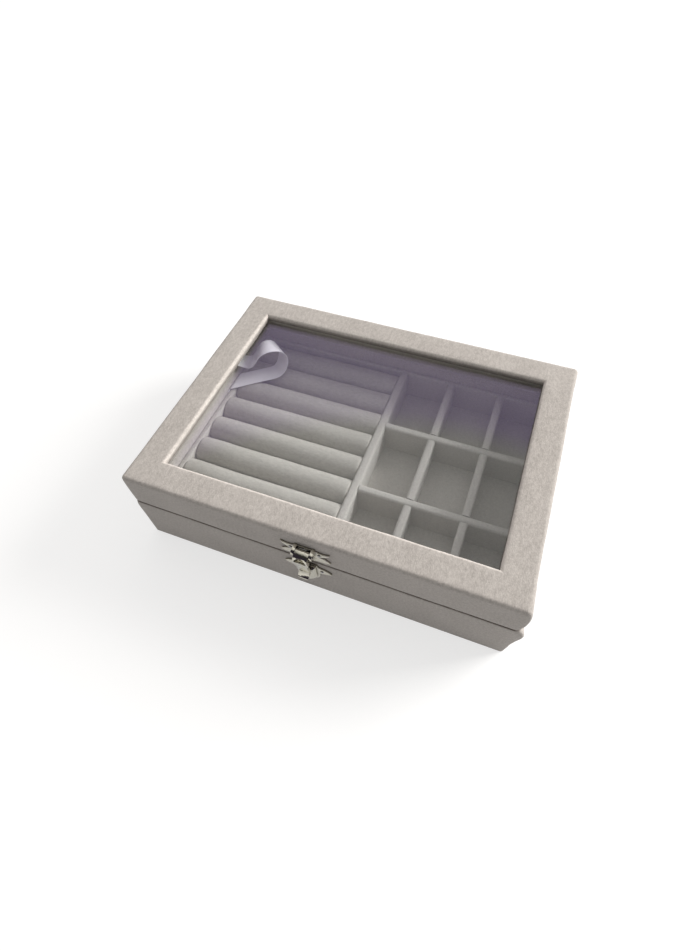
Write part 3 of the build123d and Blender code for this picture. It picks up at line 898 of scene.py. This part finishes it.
# %% [markdown]
# ## Satin stay
# A narrow satin ribbon keeps the lid from falling back. Shut in, it folds over once and
# lies between the rolls and the glass. It is a band: a line through space with a width
# at each point, given a little thickness. The line has a simple build: level from the wall
# into the box, round a circular nose that also steps aside, straight down again and over
# to the lid's wall. The width turns with the nose, because satin twists as it folds. The
# band has no UV map, so its threads come out as one even tone and only its sheen shows.

# %% Satin


def satin(name, colour):
    """Satin with a soft gloss; its threads only show on a piece that has a UV map."""
    material, tree, shader = node_tree(name)
    coordinates = tree.nodes.new("ShaderNodeTexCoord")
    mapping = tree.nodes.new("ShaderNodeMapping")
    mapping.inputs["Scale"].default_value = (130, 3, 1)
    tree.links.new(coordinates.outputs["UV"], mapping.inputs["Vector"])
    threads = tree.nodes.new("ShaderNodeTexNoise")
    threads.inputs["Scale"].default_value = 1.0
    threads.inputs["Detail"].default_value = 2.0
    tree.links.new(mapping.outputs["Vector"], threads.inputs["Vector"])
    dark = tuple(0.88 * c for c in colour)
    tone = mix_colours(tree, threads.outputs["Fac"], dark, colour, 0.3, 0.7)
    tree.links.new(tone, shader.inputs["Base Color"])
    shader.inputs["Roughness"].default_value = 0.38
    shader.inputs["Sheen Weight"].default_value = 0.3
    shader.inputs["Sheen Roughness"].default_value = 0.3
    bump(tree, shader, threads.outputs["Fac"], 0.03 * MM, 0.5)
    return material


satin_ribbon = satin("satin_ribbon", (0.97, 0.945, 0.98))
finish_node("lid_ribbon", satin_ribbon)
print("satin:", satin_ribbon.name)

# %% Ribbon
ribbon_width = 11 * MM
ribbon_thickness = 0.3 * MM
heading = 38                         # degrees from the x axis, for both strands
foot_y = 23 * MM                     # where the lower strand leaves the left wall
strand_level = 25.4 * MM             # the lower strand lies on the rolls
nose_radius = 8.3 * MM
nose_reach = 25.8 * MM               # from the wall to the middle of the nose
nose_step = 5.8 * MM                 # the upper strand lies this far beside the lower
step_turn = 110                      # degrees of the nose in which it steps aside
nose_twist = 17                      # degrees that the width turns at the tip of the nose
overturn = 48                        # degrees past the crest where the band falls straight
fall_length = 8.6 * MM
lid_end_y = 34.2 * MM
lid_end_z = 33.8 * MM
tuck = 9 * MM                        # length of each end that is folded along the wall


def heading_turned(degrees):
    """A level direction, turned from the ribbon's heading."""
    turn = math.radians(heading + degrees)
    return Vector((math.cos(turn), math.sin(turn), 0))


def ribbon_place(along, aside, z):
    """A point from its distances along and beside the lower strand, and its height."""
    return Vector((-room_x, foot_y, z)) + heading_turned(0) * along + heading_turned(90) * aside


# Each guide is a place on the middle of the band and the twist of its width in degrees.
lower_strand = spread(-tuck, nose_reach, 4)[:-1]
ribbon_guides = [(ribbon_place(along, 0, strand_level), 0) for along in lower_strand]
for angle in spread(-90, 90 + overturn, 9):
    turn = math.radians(angle)
    along = nose_reach + nose_radius * math.cos(turn)
    aside = nose_step * ease((angle + 90) / step_turn)
    z = strand_level + nose_radius * (1 + math.sin(turn))
    ribbon_guides.append((ribbon_place(along, aside, z), nose_twist * math.cos(turn)))
down = math.radians(overturn)
fallen = ribbon_guides[-1][0] - heading_turned(0) * fall_length * math.cos(down)
fallen.z -= fall_length * math.sin(down)
lid_end = Vector((-room_x, lid_end_y, lid_end_z))
ribbon_guides += [(fallen, -nose_twist), (lid_end, -nose_twist)]
ribbon_guides.append((lid_end + (lid_end - fallen).normalized() * tuck, -nose_twist))


def smooth_through(values, steps):
    """A smooth curve through vectors, each joined to the next by that many steps."""
    padded = [values[0] * 2 - values[1]] + values + [values[-1] * 2 - values[-2]]
    curve = []
    for a, b, c, d in zip(padded, padded[1:], padded[2:], padded[3:]):
        for step in range(steps):
            t = step / steps
            curve.append(
                0.5 * (2 * b + (c - a) * t + (2 * a - 5 * b + 4 * c - d) * t ** 2
                       + (3 * b - a - 3 * c + d) * t ** 3)
            )
    return curve + [values[-1]]


def band(name, line, across, width, thickness, material):
    """A ribbon along a line, with the direction of its width at each point, and its length."""
    columns = spread(-0.5, 0.5, 6)
    loops = []
    lengths = [0.0]
    for index, (point, side) in enumerate(zip(line, across)):
        ahead = line[min(index + 1, len(line) - 1)] - line[max(index - 1, 0)]
        side = (side - ahead * side.dot(ahead) / ahead.length_squared).normalized()
        up = ahead.cross(side).normalized() * thickness / 2
        top = [point + side * width * c + up for c in columns]
        under = [point + side * width * c - up for c in reversed(columns)]
        loops.append(top + under)
        if index:
            lengths.append(lengths[-1] + (point - line[index - 1]).length)
    ribbon = skin(name, loops, material, sharp=60)
    return ribbon, lengths[-1]


ribbon_points = smooth_through([place for place, twist in ribbon_guides], 8)
ribbon_sides = smooth_through([heading_turned(90 + twist) for place, twist in ribbon_guides], 8)
stay, stay_length = band(
    "satin_stay", ribbon_points, ribbon_sides, ribbon_width, ribbon_thickness, satin_ribbon
)
wall_face = -room_x + ribbon_thickness
fold_level = 30 * MM
for vertex in stay.data.vertices:
    beyond = max(0.0, wall_face - vertex.co.x)          # the ends turn along the wall
    vertex.co.x += 0.9 * beyond
    vertex.co.z += beyond if vertex.co.z > fold_level else -beyond
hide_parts("lid_ribbon")
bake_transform(stay)
print("ribbon", round(stay_length / MM, 1), "mm long")

# %% [markdown]
# ## Floor and light
# The box stands on a pale sheet under one large soft lamp behind it on the right. The room
# is light behind and dark in front, so the faces that look at the camera get their light
# mostly from the sheet. The sheet is a diffuse grey that keeps the box's shadow, with some
# light of its own added, which lifts it to white for the eye. Mirrors see a lilac curtain
# in the lower part of the room, which gives the glass its tint towards the back.

# %% Floor
floor_half = 3.0
floor_mesh = bpy.data.meshes.new("floor")
floor_mesh.from_pydata(
    [(-floor_half, -floor_half, 0), (floor_half, -floor_half, 0), (floor_half, floor_half, 0),
     (-floor_half, floor_half, 0)], [], [(0, 1, 2, 3)]
)
floor = bpy.data.objects.new("floor", floor_mesh)
floor.location.z = -0.05 * MM
scene_objects.link(floor)
floor_material, tree, shader = node_tree("floor_paper")
shader.inputs["Base Color"].default_value = (0.45, 0.45, 0.45, 1)
shader.inputs["Roughness"].default_value = 1.0
shader.inputs["Specular IOR Level"].default_value = 0.0


def between(tree, factor, low, high):
    """A value that runs from low to high with the factor."""
    step = tree.nodes.new("ShaderNodeMapRange")
    step.inputs["To Min"].default_value = low
    step.inputs["To Max"].default_value = high
    tree.links.new(factor, step.inputs["Value"])
    return step.outputs["Result"]


lift = tree.nodes.new("ShaderNodeEmission")
lift.inputs["Color"].default_value = (1, 1, 1, 1)
seen = any_ray(tree, "Is Camera Ray", "Is Transmission Ray")
tree.links.new(between(tree, seen, 0.35, 0.62), lift.inputs["Strength"])
both = tree.nodes.new("ShaderNodeAddShader")
tree.links.new(shader.outputs["BSDF"], both.inputs[0])
tree.links.new(lift.outputs["Emission"], both.inputs[1])
tree.links.new(both.outputs["Shader"], tree.nodes["Material Output"].inputs["Surface"])
floor_mesh.materials.append(floor_material)
print("floor is", 2 * floor_half, "m wide")

# %% Light from all round
world = bpy.data.worlds.new("studio")
bpy.context.scene.world = world
world.use_nodes = True
tree = world.node_tree
backdrop = tree.nodes["Background"]
direction = tree.nodes.new("ShaderNodeTexCoord")
parts = tree.nodes.new("ShaderNodeSeparateXYZ")
tree.links.new(direction.outputs["Generated"], parts.inputs["Vector"])
towards_back = tree.nodes.new("ShaderNodeMapRange")
towards_back.inputs["From Min"].default_value = -1.0
tree.links.new(parts.outputs["Y"], towards_back.inputs["Value"])
back_share = towards_back.outputs["Result"]
sky = mix_colours(tree, back_share, (0.20, 0.20, 0.20), (1.06, 1.03, 1.00), 0.1, 0.95)
curtain_top = 0.762                  # sine of the height up to which the lilac curtain hangs
curtain_hem = 0.012
above = mix_colours(
    tree, parts.outputs["Z"], (0.92, 0.76, 1.16), (0.98, 0.97, 0.93),
    curtain_top - curtain_hem, curtain_top + curtain_hem,
)
front_share = mix_colours(tree, back_share, (0.03, 0.03, 0.03), (1, 1, 1), 0.35, 0.72)
mirrored = two_colours(tree, None, above, front_share, "MULTIPLY")
room = two_colours(tree, any_ray(tree, "Is Glossy Ray", "Is Transmission Ray"), sky, mirrored)
horizon_height = 0.35                # what is seen through the glass is white up to here
is_low = tree.nodes.new("ShaderNodeMath")
is_low.operation = "LESS_THAN"
is_low.inputs[1].default_value = horizon_height
tree.links.new(parts.outputs["Z"], is_low.inputs[0])
through_glass = two_colours(tree, is_low.outputs[0], room, (1, 1, 1))
room = two_colours(tree, any_ray(tree, "Is Transmission Ray"), room, through_glass)
room = two_colours(tree, any_ray(tree, "Is Camera Ray"), room, (1, 1, 1))
tree.links.new(room, backdrop.inputs["Color"])
print("the room is dark in front and light behind")

# %% Lamps


def soft_lamp(name, place, size, energy, colour=(1, 1, 1)):
    """A square lamp that looks at the middle of the box."""
    lamp = bpy.data.lights.new(name, "AREA")
    lamp.shape = "SQUARE"
    lamp.size = size
    lamp.energy = energy
    lamp.color = colour
    holder = bpy.data.objects.new(name, lamp)
    holder.location = place
    aim = Vector((0, 0, 0.03)) - Vector(place)
    holder.rotation_euler = aim.to_track_quat("-Z", "Y").to_euler()
    scene_objects.link(holder)
    return holder


soft_lamp("key", (1.90, 1.50, 1.15), 1.1, 84, (1.0, 0.985, 0.955))

# %% [markdown]
# ## Render colours and sizes
# Colours are shown as they are, with no film curve. The size of the dressed box is
# written beside that of the solids, so that the two can be compared.

# %% Finish
bpy.context.scene.view_settings.view_transform = "Standard"
